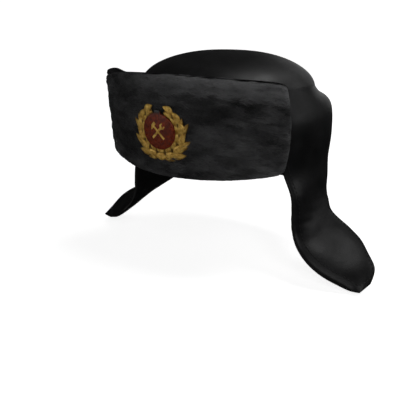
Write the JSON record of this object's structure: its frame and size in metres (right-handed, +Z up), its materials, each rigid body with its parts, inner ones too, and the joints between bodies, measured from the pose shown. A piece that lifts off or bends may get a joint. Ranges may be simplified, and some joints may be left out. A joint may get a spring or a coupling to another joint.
{
  "type": "ushanka",
  "caption": "Black leather winter hat with a domed crown, a turned-up fur visor, a padded skirt that runs down into flared ear flaps, and a gilt wreath badge with a red enamel field.",
  "frame": {"origin": "middle of the head opening, level with the lower rim of the crown", "axes": "+Z up, -Y to the front of the hat where the visor and badge are, +X to the wearer's left"},
  "size_m": [0.3582, 0.2115, 0.2166],
  "materials": {
    "leather": "smooth black leather, satin, fine grain",
    "fur": "clipped charcoal fur laid sideways in short locks",
    "gilt": "aged gilt, dull, darker in the hollows",
    "enamel": "dark red fired enamel, glossy",
    "steel": "plain nickelled steel"
  },
  "bodies": {
    "root": {"crown": "leather", "ear_neck_flap": "leather", "front_visor": "fur", "badge_metal": "gilt", "badge_enamel": "enamel", "badge_nut": "steel"}
  },
  "joints": []
}
